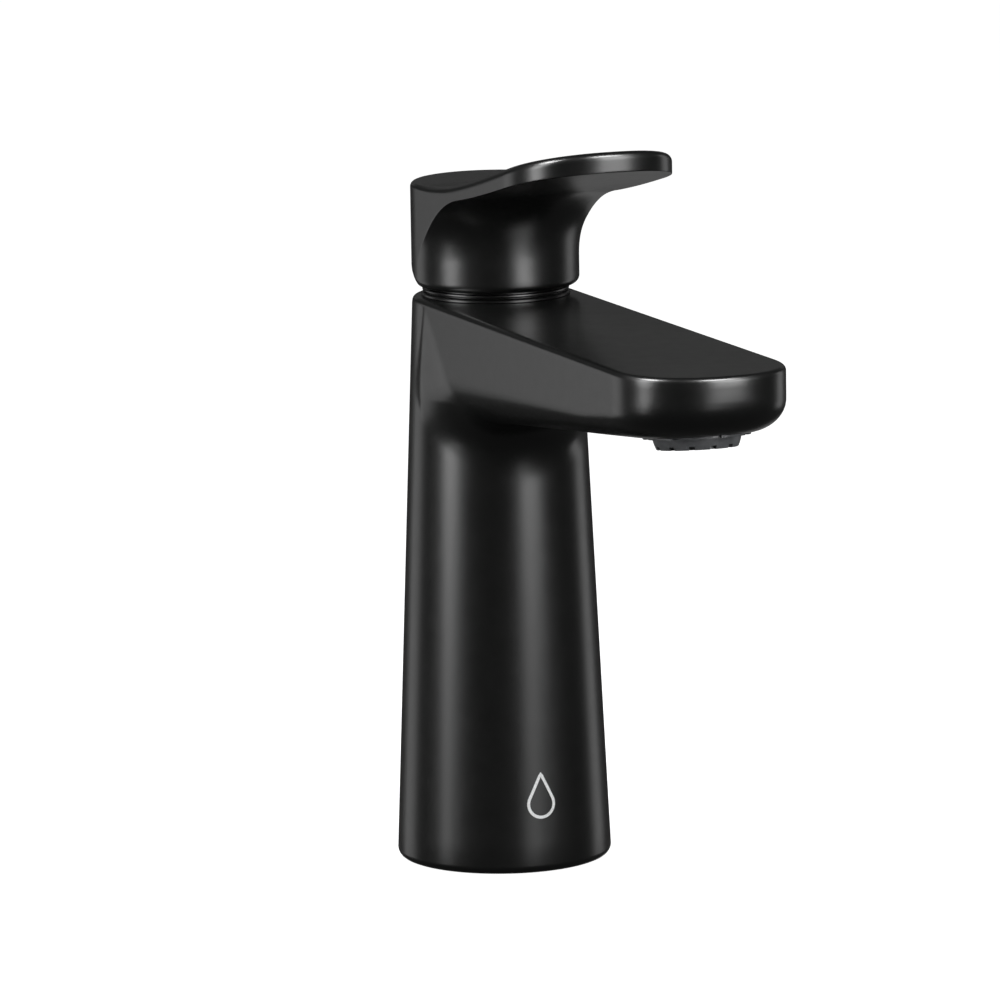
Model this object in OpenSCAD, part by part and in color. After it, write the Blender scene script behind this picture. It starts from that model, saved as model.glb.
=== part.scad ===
/* Single-lever bathroom mixer. Millimetres, +Z up. The origin is on the column's axis, on the plane of
   the deck. The spout and the lever point along -Y. */

/* [Column] */
// Radius of the column at the deck
base_r = 25; // [23:0.5:32]
// Radius of the column at its flat top, which is also half the width of the spout
top_r = 19.35; // [18:0.05:21.5]
// Height of the flat top above the deck
body_h = 132.2; // [124:0.2:160]
// Rounding of the column's foot
foot_edge = 2; // [0.5:0.1:3]
// Rounding of the top edge, along the spout and around the column
top_edge = 1.2; // [0.5:0.1:2]

/* [Spout] */
// Distance from the column's axis to the tip of the spout
spout_reach = 139.3; // [128:0.1:170]
// Length of the rounded nose of the spout
nose_len = 19.5; // [14:0.5:24]
// Squareness of the nose: 2 is an ellipse
nose_power = 2.3; // [2:0.1:3]
// Depth of the spout where its underside would meet the axis
spout_depth = 28.6; // [24:0.1:32]
// Rise of the underside toward the tip, for each millimetre of reach
under_slope = 0.11; // [0.06:0.01:0.12]
// Height of the flat side of the spout where it would meet the axis
side_depth = 16.3; // [12:0.1:18]
// Rise of the lower edge of that flat side, for each millimetre of reach
side_slope = 0.0465; // [0.02:0.005:0.06]
// Extra rise of that edge at the tip
nose_lift = 4; // [0:0.1:5]
// Width of the rounding under the spout, near the column
hull_round = 11; // [7:0.5:13]
// Width of the rounding under the spout, at the nose
nose_round = 8.4; // [6:0.2:9]
// Size of the hollow fillet between the column and the underside, right under the spout
fillet = 14; // [6:0.5:18]
// Distance below the top edge where that fillet, which thins out upward, is full
fillet_fade = 22; // [14:1:30]
// Wall of the hollow spout
spout_wall = 3; // [2.4:0.1:4]

/* [Lever] */
// Radius of the lever's round base
lever_r = 19.4; // [18:0.1:21.5]
// Gap between the body's flat top and the lever's base, which the trim ring fills
lever_gap = 2.4; // [2.2:0.1:4]
// Height of the lever's flat back, from its base to its top
lever_h = 24.1; // [21:0.1:30]
// Distance from the axis to the tip of the lever
lever_reach = 75.4; // [60:0.2:95]
// Steepest rise of the lever's top, for each millimetre of reach
lever_rise = 0.28; // [0.1:0.01:0.35]
// Distance over which the top bends from level to its steepest
lever_bend = 23; // [15:1:40]
// Thickness of the paddle at its rim, where it leaves the base
rim_t = 3.7; // [3:0.1:6]
// Gain of that thickness toward the tip, for each millimetre of reach
rim_gain = 0.022; // [0:0.002:0.03]
// Rounding of the top edge around the paddle
lever_edge = 2; // [0.6:0.1:2.4]
// Height of the hollow fillet between the round base and the paddle
lever_fillet_h = 13; // [8:0.5:15]
// Reach of that fillet under the paddle
lever_fillet_w = 15; // [8:0.5:26]
// Wall of the lever's hollow base
lever_wall = 2.5; // [2:0.1:3]
// How far the lever lifts, in degrees
lift = 20; // [10:1:20]
// How far the lever turns to each side, in degrees
swivel = 50; // [30:1:55]

/* [Cartridge] */
// Radius of the cartridge's housing
cart_r = 12.5; // [12.2:0.1:12.8]
// Wall of the housing
cart_wall = 1.5; // [1.3:0.1:1.8]
// Depth of the cartridge's seat below the flat top
seat_depth = 23.2; // [23:0.1:24]
// Height of the lever's pivot pin above the flat top
pivot_rise = 5.8; // [5.4:0.1:6.4]
// Distance from the pivot pin down to the ball that pushes the disc
stem_drop = 16; // [15.6:0.1:16.4]
// Side of the square stem
stem_w = 7; // [6:0.1:7.4]
// Radius of the pivot pin
pin_r = 1.5; // [1.2:0.1:1.8]
// Radius of the nut's thread, which is also the radius of the long bore less its play
nut_r = 14.5; // [14.4:0.1:15]

/* [Foot] */
// Radius of the threaded foot
foot_r = 18.4; // [17:0.1:19]
// Height of the threaded foot
foot_h = 10; // [7:0.5:14]
// Radius of the stud hole, at the crest of its M8 thread
stud_r = 3.4; // [3.3:0.05:3.5]
// Distance of the stud hole behind the axis
stud_y = 12.5; // [12:0.1:13.5]
// Radius of each water inlet, at the crest of its M10 x 1 thread
inlet_r = 4.5; // [4.4:0.05:4.6]
// Distance of each inlet from the axis
inlet_x = 5.6; // [5.4:0.1:6]
// Depth of the inlet's thread
inlet_depth = 9; // [7:0.5:12]
// Length of the waterway core, from its shoulder to the cartridge's seat
core_len = 39; // [30:1:45]

/* [Aerator] */
// Distance from the axis to the middle of the nozzle
outlet_reach = 121; // [110:0.5:150]
// Radius of the aerator's threaded ring, for an M24 x 1 thread
aer_r = 11.4; // [11:0.1:11.6]
// Radius of the ball of the swivel nozzle
ball_r = 9.9; // [9.4:0.1:10]
// How far the nozzle stands out of the underside
nozzle_out = 2.8; // [1.5:0.1:3]
// How far the nozzle tilts to each side, in degrees
nozzle_tilt = 8; // [4:1:8]

/* [Clearances] */
// Play between fixed pieces that slot together
fit = 0.1; // [0.05:0.01:0.2]
// Running play around a shaft, a pin or a ball
run = 0.06; // [0.03:0.01:0.1]
// Film between the two ceramic discs
film = 0.02; // [0.01:0.01:0.04]

/* [Hidden] */
$fn = 64;

black = [0.09, 0.095, 0.095];
brass = [0.78, 0.66, 0.38];
rubber = [0.06, 0.06, 0.06];
plastic = [0.85, 0.85, 0.83];
ceramic = [0.93, 0.92, 0.88];
steel = [0.7, 0.71, 0.72];
grey = [0.3, 0.31, 0.32];

eps = 0.01;              // overshoot of cuts
circle_steps = 18;       // columns of the skins around half a turn
side_steps = 16;         // columns of the skins along each straight side
nose_steps = 26;         // columns of the skins around a nose
hull_steps = 26;         // rows of the body's skin from the plain column to the top edge
paddle_steps = 16;       // rows of the lever's skin from the base to the rim
settle_rounds = 7;       // rounds that move a point onto a surface
probe = 0.01;            // step that a field's slope is measured over
longest_move = 3;        // longest move of a point in one round

nose_y = spout_reach - nose_len;
bore_r = nut_r + fit;
seat_z = body_h - seat_depth;
core_z = seat_z - core_len;
pivot_z = body_h + pivot_rise;
lean = lift / 2;         // the stem leans this far forward when the lever is down

// ---- outline shared by the spout and the lever, in plan ----

function sgn_pow(v, e) = sign(v) * pow(abs(v), e);
function clamp01(v) = min(1, max(0, v));
function mix(a, b, t) = a * (1 - t) + b * t;

// A column of a skin is [kind, a, b]. Kind 0 is on the round back: a is its angle. Kind 1 is on a
// straight side: a is 1 or -1 and b is the distance forward. Kind 2 is on the nose: a is its angle.
function columns(straight) = concat(
    [for (i = [0 : circle_steps]) [0, 180 * i / circle_steps, 0]],
    [for (i = [1 : side_steps]) [1, -1, straight * pow(i / side_steps, 1.7)]],
    [for (i = [1 : nose_steps - 1]) [2, 180 + 180 * i / nose_steps, 0]],
    [for (i = [side_steps : -1 : 1]) [1, 1, straight * pow(i / side_steps, 1.7)]]);

function plan(c, r, straight, len, inset) =
    c[0] == 0 ? [r * cos(c[1]), r * sin(c[1])] :
    c[0] == 1 ? [c[1] * (r - inset), -c[2]] :
    [(r - inset) * sgn_pow(cos(c[1]), 2 / nose_power),
     -straight + (len - inset) * sgn_pow(sin(c[1]), 2 / nose_power)];

// Two triangles over a quad, split along its shorter diagonal.
function split_quad(points, a, b, c, d) =
    norm(points[a] - points[c]) < norm(points[b] - points[d]) ? [[a, b, c], [a, c, d]] : [[a, b, d], [b, c, d]];

// Rows of points, listed from the foot to the crown, closed with a fan at each end.
module skin(rows, foot, crown) {
    n = len(rows[0]);
    m = len(rows);
    points = concat([for (row = rows) each row], [foot, crown]);
    sides = [for (j = [0 : m - 2], i = [0 : n - 1]) let (k = (i + 1) % n)
        each split_quad(points, j * n + i, (j + 1) * n + i, (j + 1) * n + k, j * n + k)];
    caps = [for (i = [0 : n - 1]) let (k = (i + 1) % n)
        each [[m * n, i, k], [m * n + 1, (m - 1) * n + k, (m - 1) * n + i]]];
    polyhedron(points = points, faces = concat(sides, caps), convexity = 6);
}

// ---- fields: a field is below zero inside a shape and zero on its surface ----

// How far a point of the plan lies outside the outline.
function plan_distance(x, y, r, straight, len) =
    y > 0 ? norm([x, y]) - r :
    y > -straight ? abs(x) - r :
    r * (pow(pow(abs(x) / r, nose_power) + pow((-straight - y) / len, nose_power), 1 / nose_power) - 1);

// The smaller of two distances, melted together where they are nearly the same.
function smooth_min(a, b, w) = min(a, b) - pow(max(0, w - abs(a - b)), 2) / (4 * w);

// The larger of two distances, with an elliptic rounding where both are near zero.
function rounded_max(a, b, wide, high) =
    let (u = max(0, a / wide + 1), v = max(0, b / high + 1))
    u == 0 && v == 0 ? max(a, b) :
    (norm([u, v]) - 1) * (u * u * wide + v * v * high) / (u * u + v * v);

// Moves a point onto the surface, along the slope of the field.
function settle(field, p, rounds) =
    rounds == 0 ? p :
    let (slope = [for (axis = [[1, 0, 0], [0, 1, 0], [0, 0, 1]])
                  (field(p + probe * axis) - field(p - probe * axis)) / (2 * probe)],
         move = field(p) / max(slope * slope, 0.05) * slope)
    settle(field, p - move * min(1, longest_move / max(norm(move), eps)), rounds - 1);

// A point at share t of a broken line, where each stretch counts for its length times its weight.
function along(line, weights, t) =
    let (costs = [for (i = [0 : len(weights) - 1]) weights[i] * norm(line[i + 1] - line[i])])
    walk(line, costs, t * (costs * [for (cost = costs) 1]), 0);
function walk(line, costs, left, i) =
    left > costs[i] && i < len(costs) - 1 ? walk(line, costs, left - costs[i], i + 1) :
    mix(line[i], line[i + 1], costs[i] > 0 ? min(1, left / costs[i]) : 1);

// ---- body ----

hull_foot = body_h - spout_depth - fillet - 2;   // where the plain cone ends

function cone_r(z) = base_r + (top_r - base_r) * z / body_h;
function under_z(s) = body_h - spout_depth + under_slope * s;
function side_z(s) = body_h - side_depth + side_slope * s
    + nose_lift * clamp01(1 - (spout_reach - s) / (2 * nose_len));

// The cone and the spout, melted together: most right under the spout and not at all at the top.
function body_field(p) =
    let (s = max(0, -p[1]),
         across = norm([p[0], p[1]]),
         low = under_z(s),
         wide = mix(hull_round, nose_round, clamp01(s / nose_y)),
         behind = 0.8 * max(0, p[1] + 4),
         spout = rounded_max(plan_distance(p[0], p[1], top_r, nose_y, nose_len), low - p[2],
                             wide, side_z(s) - low) + behind,
         front = s / max(across, eps),
         fade = min(1, max(0.02, (body_h - p[2]) / fillet_fade)))
    smooth_min(across - cone_r(p[2]), spout, fillet * mix(0.4, 1, front * front) * fade);

// Up the column, out along the underside and up the side to the top edge, in one column of the skin.
function hull_points(c) =
    let (edge = plan(c, top_r, nose_y, nose_len, 0),
         dir = edge / norm(edge),
         near_z = under_z(max(0, -dir[1]) * cone_r(under_z(0))),
         far_z = under_z(max(0, -edge[1])),
         top_z = body_h - top_edge,
         near = [cone_r(near_z), near_z],
         far = [max(norm(edge), cone_r(far_z)), far_z],
         top = [max(norm(edge), cone_r(top_z)), top_z],
         gap = max(norm(far - near), eps),
         line = [[cone_r(hull_foot), hull_foot], near, mix(near, far, min(0.5, fillet / gap)),
                 mix(far, near, min(0.5, hull_round / gap)), far,
                 mix(far, top, min(1, (side_z(max(0, -edge[1])) - far_z) / (top_z - far_z))), top],
         weights = [0.6, 1, 0.15, 1, 1, 0.4])
    [for (j = [0 : hull_steps - 1]) let (q = along(line, weights, j / hull_steps))
        settle(function(p) body_field(p), [dir[0] * q[0], dir[1] * q[0], q[1]], settle_rounds)];

module spout_skin() {
    cols = columns(nose_y);
    low_row = [for (c = cols) let (e = plan(c, top_r, nose_y, nose_len, 0), r = cone_r(split_z))
        [e[0] / norm(e) * r, e[1] / norm(e) * r, split_z]];
    paths = [for (c = cols) hull_points(c)];
    hull_rows = [for (j = [0 : hull_steps - 1]) [for (path = paths) path[j]]];
    top_rows = [for (a = [0 : 30 : 90])
        [for (c = cols) let (p = plan(c, top_r - (c[0] == 0 ? top_edge * (1 - cos(a)) : 0),
                                      nose_y, nose_len, top_edge * (1 - cos(a))))
            [p[0], p[1], body_h - top_edge * (1 - sin(a))]]];
    skin(concat([low_row], hull_rows, top_rows), [0, 0, split_z], [0, 0, body_h]);
}

module column_skin() {
    rounding = [for (a = [0 : 15 : 90])
        [cone_r(foot_edge) - foot_edge * (1 - sin(a)), foot_edge * (1 - cos(a))]];
    rotate_extrude() polygon(concat([[0, 0]], rounding, [[cone_r(split_z), split_z], [0, split_z]]));
}

// Hollow of the spout: a tapering bar with chamfered lower corners.
hollow_w = top_r - spout_wall;
hollow_end = outlet_reach - 4;
module spout_hollow() {
    roof = body_h - spout_wall;
    floor_near = under_z(bore_r) + spout_wall + 1;
    floor_far = under_z(hollow_end) + spout_wall;
    chamfer = hull_round - spout_wall;
    intersection() {
        rotate([90, 0, -90])
            linear_extrude(height = 2 * hollow_w, center = true)
                polygon([[bore_r - 4, floor_near], [hollow_end, floor_far], [hollow_end, roof],
                         [bore_r + 3, roof], [bore_r - 4, seat_z + 11]]);
        rotate([90, 0, 0])
            linear_extrude(height = hollow_end + 1)
                polygon([[-hollow_w + chamfer, floor_near - 1], [hollow_w - chamfer, floor_near - 1],
                         [hollow_w, side_z(hollow_end)], [hollow_w, roof],
                         [-hollow_w, roof], [-hollow_w, side_z(hollow_end)]]);
    }
}

ledge_h = 6;             // height of the ledge that carries the core
ledge_r = 12.2;          // opening through that ledge
bay_top_r = 17.5;        // top of the bay that the hoses run through
gasket_in = foot_r + 1.2;
gasket_out = gasket_in + 2.4;
gasket_t = 1.6;
foot_z = 1;

// The casting is two nodes that meet on the plane of the ledge's underside.
split_z = core_z - ledge_h;
module body_column() {
    color(black) difference() {
        column_skin();
        translate([0, 0, foot_z + foot_h])
            cylinder(r1 = foot_r - 0.5, r2 = bay_top_r, h = split_z - foot_z - foot_h + eps);
        translate([0, 0, -eps]) cylinder(r = foot_r + fit, h = foot_z + foot_h + 2 * eps);
        translate([0, 0, -eps]) gasket_ring(gasket_t + eps);
    }
}

module body_spout() {
    color(black) difference() {
        spout_skin();
        translate([0, 0, core_z]) cylinder(r = bore_r, h = body_h);
        translate([0, 0, split_z - eps]) cylinder(r = ledge_r, h = ledge_h + 2 * eps);
        spout_hollow();
        at_outlet() aerator_socket();
    }
}

module gasket_ring(h) {
    difference() {
        cylinder(r = gasket_out, h = h);
        translate([0, 0, -eps]) cylinder(r = gasket_in, h = h + 2 * eps);
    }
}

module base_gasket() {
    color(rubber) gasket_ring(gasket_t);
}

hose_hole_r = inlet_r + 1.3;
module mounting_foot() {
    color(brass) difference() {
        translate([0, 0, foot_z]) cylinder(r = foot_r, h = foot_h);
        translate([0, 0, foot_z - eps])
            linear_extrude(height = foot_h + 2 * eps) hose_slot();
        translate([0, stud_y, foot_z - eps]) cylinder(r = stud_r, h = foot_h + 2 * eps);
    }
}

module hose_slot() {
    for (side = [-1, 1])
        translate([side * inlet_x, 0]) circle(r = hose_hole_r);
    square([2 * inlet_x, 2 * hose_hole_r], center = true);
}

// ---- waterway core ----

neck_r = cart_r - 0.1;   // upper part of the core, inside the ring of water
neck_h = 13;
spigot_r = ledge_r - fit;
spigot_h = 8;
port_x = inlet_x;
port_r = 2.6;
outlet_y = -6;
outlet_r = 2.8;
outlet_drop = 8;
core_seal_r = 0.9;       // half the thickness of the O-rings of the core
core_seal_z = [core_z + 8, core_z + 16];

// A groove for an O-ring that seals against the long bore.
module seal_groove(z, cord) {
    translate([0, 0, z - cord * 1.1])
        difference() {
            cylinder(r = bore_r + 1, h = cord * 2.2);
            translate([0, 0, -eps]) cylinder(r = bore_r - 2 * cord - film, h = cord * 2.2 + 2 * eps);
        }
}

module o_ring(outer_r, z, cord) {
    translate([0, 0, z]) rotate_extrude() translate([outer_r - cord, 0]) circle(r = cord, $fn = 24);
}

module waterway_core() {
    core_r = bore_r - fit;
    color(brass) difference() {
        union() {
            translate([0, 0, core_z]) cylinder(r = core_r, h = core_len - neck_h);
            translate([0, 0, core_z + core_len - neck_h - eps]) cylinder(r = neck_r, h = neck_h + eps);
            translate([0, 0, core_z - spigot_h]) cylinder(r = spigot_r, h = spigot_h + eps);
        }
        for (z = core_seal_z) seal_groove(z, core_seal_r);
        for (side = [-1, 1]) {
            translate([side * inlet_x, 0, core_z - spigot_h - eps])
                cylinder(r = inlet_r, h = inlet_depth + eps);
            translate([side * port_x, 0, core_z - spigot_h + inlet_depth - eps])
                cylinder(r = port_r, h = core_len + spigot_h);
        }
        translate([0, outlet_y, seat_z - outlet_drop]) cylinder(r = outlet_r, h = outlet_drop + 1);
        translate([0, outlet_y, seat_z - outlet_drop]) rotate([90, 0, 0])
            cylinder(r = outlet_r, h = bore_r);
    }
}

module core_seals() {
    color(rubber) for (z = core_seal_z) o_ring(bore_r, z, core_seal_r);
}

// ---- trim ring and nut ----

ring_h = lever_gap - 0.4;
ring_r = 17.2;
clamp_r = nut_r + 0.5;   // flange of the nut that holds the ring down
clamp_h = 0.9;
collar_r = 13.4;
collar_h = 3;
ring_seal_h = 0.6;
skirt_in = clamp_r + fit;
skirt_t = 0.9;
skirt_top = body_h + 4.6;

module trim_ring() {
    color(black) translate([0, 0, body_h]) rotate_extrude()
        difference() {
            union() {
                translate([collar_r + 0.2, 0]) square([ring_r - collar_r - 0.2, 0.8]);
                translate([collar_r + 0.2, 0.7]) square([ring_r - collar_r - 0.9, 0.5]);
                translate([collar_r + 0.2, 1.1]) square([ring_r - collar_r - 0.7, ring_h - 1.1]);
                translate([ring_r - 0.55, 1.1 + (ring_h - 1.1) / 2]) circle(r = (ring_h - 1.1) / 2);
                translate([skirt_in, 0.1]) square([skirt_t, skirt_top - body_h - 0.1]);
            }
            translate([0, ring_h - clamp_h]) square([clamp_r + fit, ring_h]);
            translate([nut_r + 0.9, -eps]) square([1.2, ring_seal_h + eps]);
        }
}

module trim_ring_seal() {
    color(rubber) translate([0, 0, body_h]) rotate_extrude()
        translate([nut_r + 0.9, 0]) square([1.2, ring_seal_h]);
}

flange_z = seat_z + 15.5;        // underside of the cartridge housing's flange
flange_h = 4.5;
flange_r = nut_r - 0.2;
nut_z = flange_z + flange_h;
nut_top = body_h + ring_h + collar_h;
module cartridge_nut() {
    color(brass) difference() {
        union() {
            translate([0, 0, nut_z]) cylinder(r = nut_r, h = body_h - 0.7 - nut_z);
            translate([0, 0, nut_z + 1]) cylinder(r = collar_r, h = nut_top - nut_z - 1);
            translate([0, 0, body_h + ring_h - clamp_h]) cylinder(r = clamp_r, h = clamp_h);
        }
        translate([0, 0, nut_z - eps]) cylinder(r = cart_r + fit, h = nut_top - nut_z + 1);
        for (a = [0 : 60 : 300])
            rotate([0, 0, a + 30]) translate([cart_r - 1, -1.5, nut_top - 2]) cube([3, 3, 3]);
    }
}

// ---- cartridge ----

cart_in = cart_r - cart_wall;
base_t = 3.8;
base_z = seat_z + 0.2;
disc_t = 3;
fixed_z = base_z + base_t;
moving_z = fixed_z + disc_t + film;
carrier_z = moving_z + disc_t - film;
carrier_h = 4.5;
offset_y = stem_drop * sin(lean);
rotor_z = carrier_z + carrier_h + 0.5;
rotor_top = pivot_z + 4.5;
housing_top = body_h + 1.8;
lid_t = 2.5;
neck_rotor_r = 8;
slot_y = 4.8;
ball_end_r = 2.2;
shaft_r = 1.9;
seal_cord = 0.85;
rotor_cord = 0.75;
limit_t = 1.8;
stop_half = 14;          // half the angle of the housing's stop
lug_half = 8;            // half the angle of each lug of the limit ring
prong_x = 6.5;

module sector(half, in_r, out_r, h) {
    rotate_extrude(angle = 2 * half, start = 90 - half)
        translate([in_r, 0]) square([out_r - in_r, h]);
}

module cartridge_housing() {
    color(plastic) difference() {
        union() {
            translate([0, 0, fixed_z]) cylinder(r = cart_r, h = housing_top - fixed_z);
            translate([0, 0, flange_z]) cylinder(r = flange_r, h = flange_h);
            translate([0, 0, housing_top - eps]) sector(stop_half, 10.8, cart_r - 0.1, limit_t + eps);
        }
        translate([0, 0, fixed_z - eps]) cylinder(r = cart_in, h = housing_top - lid_t - fixed_z + eps);
        translate([0, 0, fixed_z]) cylinder(r = neck_rotor_r + run, h = body_h);
        seal_groove(flange_z + flange_h / 2, seal_cord);
        translate([0, 0, housing_top - lid_t / 2 - rotor_cord])
            cylinder(r = neck_rotor_r + 2 * rotor_cord, h = 2 * rotor_cord);
    }
}

module cartridge_seal() {
    color(rubber) o_ring(bore_r, flange_z + flange_h / 2, seal_cord);
}

module rotor_seal() {
    color(rubber) o_ring(neck_rotor_r + 2 * rotor_cord, housing_top - lid_t / 2, rotor_cord - 0.02);
}

seal_out = 4.1;
seal_in = 3;
module cartridge_base() {
    color(plastic) difference() {
        translate([0, 0, base_z]) cylinder(r = cart_r, h = base_t);
        ports(base_z - eps, base_t + 2 * eps, port_r);
        port_rings(base_z - eps, 1 + eps);
    }
}

port_places = [[port_x, 0], [-port_x, 0], [0, outlet_y - 1.5]];
module ports(z, h, r) {
    for (p = port_places) translate([p[0], p[1], z]) cylinder(r = r, h = h);
}

module port_rings(z, h) {
    for (p = port_places)
        translate([p[0], p[1], z])
            difference() {
                cylinder(r = seal_out, h = h);
                translate([0, 0, -eps]) cylinder(r = seal_in, h = h + 2 * eps);
            }
}

module port_seals() {
    color(rubber) port_rings(seat_z, 1.2);
}

module fixed_disc() {
    color(ceramic) difference() {
        translate([0, 0, fixed_z]) cylinder(r = cart_in - 0.4, h = disc_t);
        ports(fixed_z - eps, disc_t + 2 * eps, port_r);
    }
}

// The mixing chamber is a blind pocket in the underside of the disc that slides.
module moving_disc() {
    color(ceramic) translate([0, offset_y, moving_z]) difference() {
        cylinder(r = 7.7, h = disc_t - film);
        translate([0, -1.5, -eps]) cylinder(r = 4.2, h = 1.6);
    }
}

module disc_carrier() {
    color(grey) translate([0, offset_y, carrier_z]) difference() {
        intersection() {
            cylinder(r = 8, h = carrier_h);
            translate([-prong_x, -9, 0]) cube([2 * prong_x, 18, carrier_h]);
        }
        translate([0, 0, 0.8]) cylinder(r = ball_end_r + 0.15, h = carrier_h);
    }
}

module cartridge_rotor() {
    prong_z = carrier_z + 0.4;
    color(plastic) difference() {
        union() {
            translate([0, 0, rotor_z]) cylinder(r = cart_in - run, h = housing_top - lid_t - 0.1 - rotor_z);
            translate([0, 0, rotor_z]) cylinder(r = neck_rotor_r, h = rotor_top - rotor_z);
            translate([0, 0, prong_z]) cylinder(r = cart_in - run, h = rotor_z - prong_z + eps);
        }
        translate([-prong_x - run, -cart_r, prong_z - 1])
            cube([2 * (prong_x + run), 2 * cart_r, rotor_z - prong_z + 1]);
        translate([-stem_w / 2 - 0.1, -slot_y, prong_z])
            cube([stem_w + 0.2, 2 * slot_y, rotor_top - prong_z + 1]);
        translate([0, 0, pivot_z]) rotate([0, 90, 0])
            cylinder(r = pin_r + run, h = 2 * cart_r, center = true);
    }
}

limit_z = housing_top + 0.1;
module limit_ring() {
    reach = swivel + stop_half + lug_half + 0.6;
    color([0.75, 0.15, 0.12]) translate([0, 0, limit_z]) difference() {
        union() {
            cylinder(r = 10.5, h = limit_t - 0.1);
            for (side = [-1, 1])
                rotate([0, 0, side * reach]) sector(lug_half, 9.5, 12.1, limit_t - 0.1);
        }
        translate([0, 0, -eps]) cylinder(r = neck_rotor_r + 0.05, h = limit_t + 1);
    }
}

// The stem turns on the pin. When the lever is down it leans forward.
stem_top = 17;           // end of the stem above the pin
module at_stem() {
    translate([0, 0, pivot_z]) rotate([lean, 0, 0]) children();
}

module cartridge_stem() {
    color(steel) at_stem() difference() {
        union() {
            translate([-stem_w / 2, -stem_w / 2, -2.6]) cube([stem_w, stem_w, stem_top + 2.6]);
            translate([0, 0, -stem_drop]) cylinder(r = shaft_r, h = stem_drop - 2);
            translate([0, 0, -stem_drop]) sphere(r = ball_end_r, $fn = 32);
        }
        rotate([0, 90, 0]) cylinder(r = pin_r, h = 20, center = true);
    }
}

module stem_pin() {
    color(steel) translate([0, 0, pivot_z]) rotate([0, 90, 0])
        cylinder(r = pin_r, h = 2 * neck_rotor_r - 1.4, center = true);
}

// ---- lever ----

lever_z = body_h + lever_gap;
lever_top = lever_z + lever_h;
lever_nose_y = lever_reach - nose_len;
relief_z = body_h + lever_gap - 0.35;

function lever_top_z(y) =
    let (s = max(0, 1 - y))
    lever_top + lever_rise * (s - lever_bend * (1 - exp(-s / lever_bend)));
function lever_low_z(y) = lever_top_z(y) - rim_t - rim_gain * max(0, -y - lever_r);
// The top edge is rounded less around the back of the base.
function top_round(y) = mix(lever_edge, 0.6 * lever_edge, clamp01(1 + y / lever_r));
// The back of the base is cut up at the angle of the lift, so that it clears the trim ring.
function lever_foot_z(y) = max(lever_z, relief_z + y * tan(lift));

// A point of the base's wall, of the fillet or of the paddle's underside, at share t of the way.
function paddle_point(c, t) =
    let (edge = plan(c, lever_r, lever_nose_y, nose_len, 0),
         dir = edge / norm(edge),
         over = max(0, norm(edge) - lever_r),
         foot = foot_top_z(edge),
         low = lever_low_z(dir[1] * lever_r),
         tall = min(lever_fillet_h, low - foot - 1),
         wall = low - tall - foot,
         bend = min(1, sqrt(over / lever_fillet_w)),
         flat = over - lever_fillet_w * bend * bend,
         at = t * (wall + lever_fillet_w * bend + flat),
         u = min(bend, max(0, at - wall) / lever_fillet_w),
         rest = max(0, at - wall - lever_fillet_w * bend),
         p = dir * (lever_r + lever_fillet_w * u * u + rest))
    [p[0], p[1], at < wall ? foot + at : lever_low_z(p[1]) - tall * pow(1 - u, 2)];

// Rounding of the base's lower edge, and the height where it ends, in the direction of a point of the plan.
function foot_round(edge) = 1.8 + 1.2 * clamp01(edge[1] / norm(edge) + 0.3);
function foot_top_z(edge) = lever_foot_z(edge[1] / norm(edge) * lever_r) + foot_round(edge);

// The lever's outline in plan, drawn in by an inset.
function inner_plan(c, inset) =
    plan(c, c[0] == 0 ? lever_r - inset : lever_r, lever_nose_y, nose_len, inset);

module lever_skin() {
    cols = columns(lever_nose_y);
    edge = [for (c = cols) plan(c, lever_r, lever_nose_y, nose_len, 0)];
    foot_rows = [for (a = [0 : 30 : 90])
        [for (e = edge) let (u = e / norm(e), b = foot_round(e), r = lever_r - b * (1 - sin(a)))
            [u[0] * r, u[1] * r, foot_top_z(e) - b * cos(a)]]];
    paddle_rows = [for (j = [1 : paddle_steps]) [for (c = cols) paddle_point(c, j / paddle_steps)]];
    top_rows = [for (a = [0 : 30 : 90])
        [for (c = cols) let (b = top_round(plan(c, lever_r, lever_nose_y, nose_len, 0)[1]),
                             p = inner_plan(c, b * (1 - cos(a))))
            [p[0], p[1], lever_top_z(p[1]) - b * (1 - sin(a))]]];
    crown_rows = [for (k = [0.85, 0.65, 0.45, 0.25, 0.1])
        [for (c = cols) let (p = inner_plan(c, lever_edge) * k) [p[0], p[1], lever_top_z(p[1])]]];
    skin(concat(foot_rows, paddle_rows, top_rows, crown_rows),
         [0, 0, lever_foot_z(0)], [0, 0, lever_top_z(0)]);
}

boss_r = 7.5;
boss_low = 8.5;          // foot of the boss above the pin, along the stem
cavity_roof = lever_top - 6.5;
screw_up = 13;           // height of the set screw above the pin, along the stem
screw_r = 2.5;
screw_len = 5;
plug_r = 3.2;
plug_z = pivot_z + screw_up;

module lever_handle() {
    color(black) difference() {
        union() {
            difference() {
                lever_skin();
                translate([0, 0, lever_z - 10]) cylinder(r = lever_r - lever_wall, h = cavity_roof - lever_z + 10);
            }
            intersection() {
                at_stem() translate([0, 0, boss_low]) cylinder(r = boss_r, h = 20);
                translate([0, 0, lever_z]) cylinder(r = lever_r - 1, h = cavity_roof + 1 - lever_z);
            }
        }
        at_stem() translate([-stem_w / 2 - 0.05, -stem_w / 2 - 0.05, 0])
            cube([stem_w + 0.1, stem_w + 0.1, stem_top + 0.5]);
        translate([0, 0, pivot_z]) rotate([lean, 0, 0]) translate([0, 0, screw_up]) rotate([-90, 0, 0])
            cylinder(r = screw_r, h = boss_r + 2);
        translate([0, 0, plug_z]) rotate([-90, 0, 0]) translate([0, 0, boss_r + 2])
            cylinder(r = plug_r, h = lever_r);
    }
}

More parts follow.
